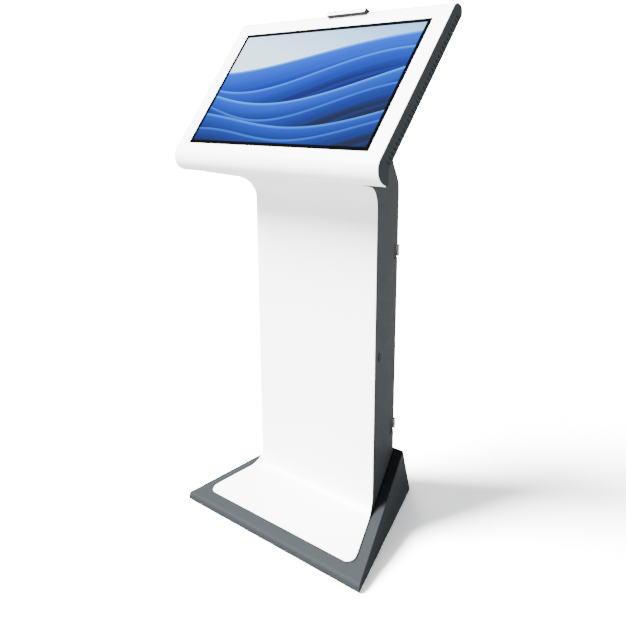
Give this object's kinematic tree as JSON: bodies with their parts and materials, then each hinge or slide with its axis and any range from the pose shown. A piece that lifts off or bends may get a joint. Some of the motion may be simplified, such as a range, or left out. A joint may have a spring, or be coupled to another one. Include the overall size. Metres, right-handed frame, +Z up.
{
  "type": "touchscreen kiosk",
  "caption": "Free-standing touchscreen kiosk: a large tilted display in a white curved front sheet, on a charcoal tapered column with a lockable rear service door and a wedge base.",
  "frame": {"origin": "centre of the bounding box on the floor, under the levelling feet", "axes": "+X to the right seen from the front, +Y to the rear (away from the user), +Z up"},
  "size_m": [0.704, 0.499, 1.3705],
  "materials": {
    "white_coat": "satin powder coat",
    "charcoal_coat": "fine textured powder coat",
    "zinc_plate": "zinc plated",
    "steel": "machined",
    "chrome": "polished",
    "black_plastic": "matte",
    "gloss_black": "gloss",
    "white_plastic": "semi-gloss",
    "rubber": "matte",
    "screen": "lit display picture",
    "glass": "clear",
    "board": "solder mask"
  },
  "bodies": {
    "kiosk": {"base_shell": "charcoal_coat", "base_plate": "zinc_plate", "ballast_plate": "zinc_plate", "ballast_screws": "steel", "shell_tabs": "zinc_plate", "foot_nuts": "steel", "frame_left": "zinc_plate", "frame_right": "zinc_plate", "frame_bolts": "steel", "crossbars": "zinc_plate", "equipment_plate": "zinc_plate", "front_sheet": "white_coat", "side_panel_left": "charcoal_coat", "side_panel_right": "charcoal_coat", "neck_cover": "charcoal_coat", "door_seal": "rubber", "hinge_fixed_leaves": "chrome", "hinge_pins": "steel", "button_housing": "black_plastic", "button_nut": "zinc_plate", "fan_frame": "black_plastic", "fan_screws": "steel", "mini_pc": "black_plastic", "power_supply": "zinc_plate", "power_inlet": "black_plastic", "switch_housing": "black_plastic", "mains_lead": "rubber", "display_lead": "rubber", "bezel_panel": "white_coat", "head_cover": "charcoal_coat", "touch_glass": "glass", "glass_gasket": "gloss_black", "lcd_panel": "screen", "lcd_rails": "zinc_plate", "driver_board": "board", "board_standoffs": "steel", "head_mount": "zinc_plate", "head_bolts": "steel", "camera_body": "charcoal_coat", "camera_fascia": "white_plastic", "camera_lens": "gloss_black", "camera_screws": "steel"},
    "door": {"rear_door": "charcoal_coat", "hinge_door_leaves": "chrome", "lock_housing": "chrome", "lock_nut": "zinc_plate"},
    "lock_barrel": {"lock_plug": "chrome", "lock_cam": "zinc_plate"},
    "power_button": {"button_cap": "black_plastic"},
    "rotor": {"fan_rotor": "black_plastic"},
    "rocker": {"switch_rocker": "gloss_black"},
    "foot_fl": {"foot_front_left": "rubber"},
    "foot_fr": {"foot_front_right": "rubber"},
    "foot_rl": {"foot_rear_left": "rubber"},
    "foot_rr": {"foot_rear_right": "rubber"}
  },
  "joints": [
    {"name": "door_swing", "type": "hinge", "parent": "kiosk", "child": "door", "pos_m": [0.12692, 0.14333, 0.5135], "axis": [0, 0, -1], "range_deg": [0, 110]},
    {"name": "lock_turn", "type": "hinge", "parent": "door", "child": "lock_barrel", "pos_m": [-0.09235, 0.1355, 0.545], "axis": [0, -1, 0], "range_deg": [0, 90]},
    {"name": "button_press", "type": "slide", "parent": "kiosk", "child": "power_button", "axis": [-0.9135, -0.4067, 0], "range_m": [0, 0.003], "stiffness_N_per_m": 600, "springref_m": -0.001},
    {"name": "rocker_tilt", "type": "hinge", "parent": "kiosk", "child": "rocker", "pos_m": [0.026, 0.20679, 0.0762], "axis": [-1, 0, 0], "range_deg": [0, 12]},
    {"name": "fan_spin", "type": "hinge", "parent": "kiosk", "child": "rotor", "pos_m": [0, 0.03947, 1.03998], "axis": [0, 0.6947, 0.7193], "continuous": true},
    {"name": "level_front_left", "type": "slide", "parent": "kiosk", "child": "foot_fl", "axis": [0, 0, -1], "range_m": [0, 0.008]},
    {"name": "level_front_right", "type": "slide", "parent": "kiosk", "child": "foot_fr", "axis": [0, 0, -1], "range_m": [0, 0.008]},
    {"name": "level_rear_left", "type": "slide", "parent": "kiosk", "child": "foot_rl", "axis": [0, 0, -1], "range_m": [0, 0.008]},
    {"name": "level_rear_right", "type": "slide", "parent": "kiosk", "child": "foot_rr", "axis": [0, 0, -1], "range_m": [0, 0.008]}
  ]
}
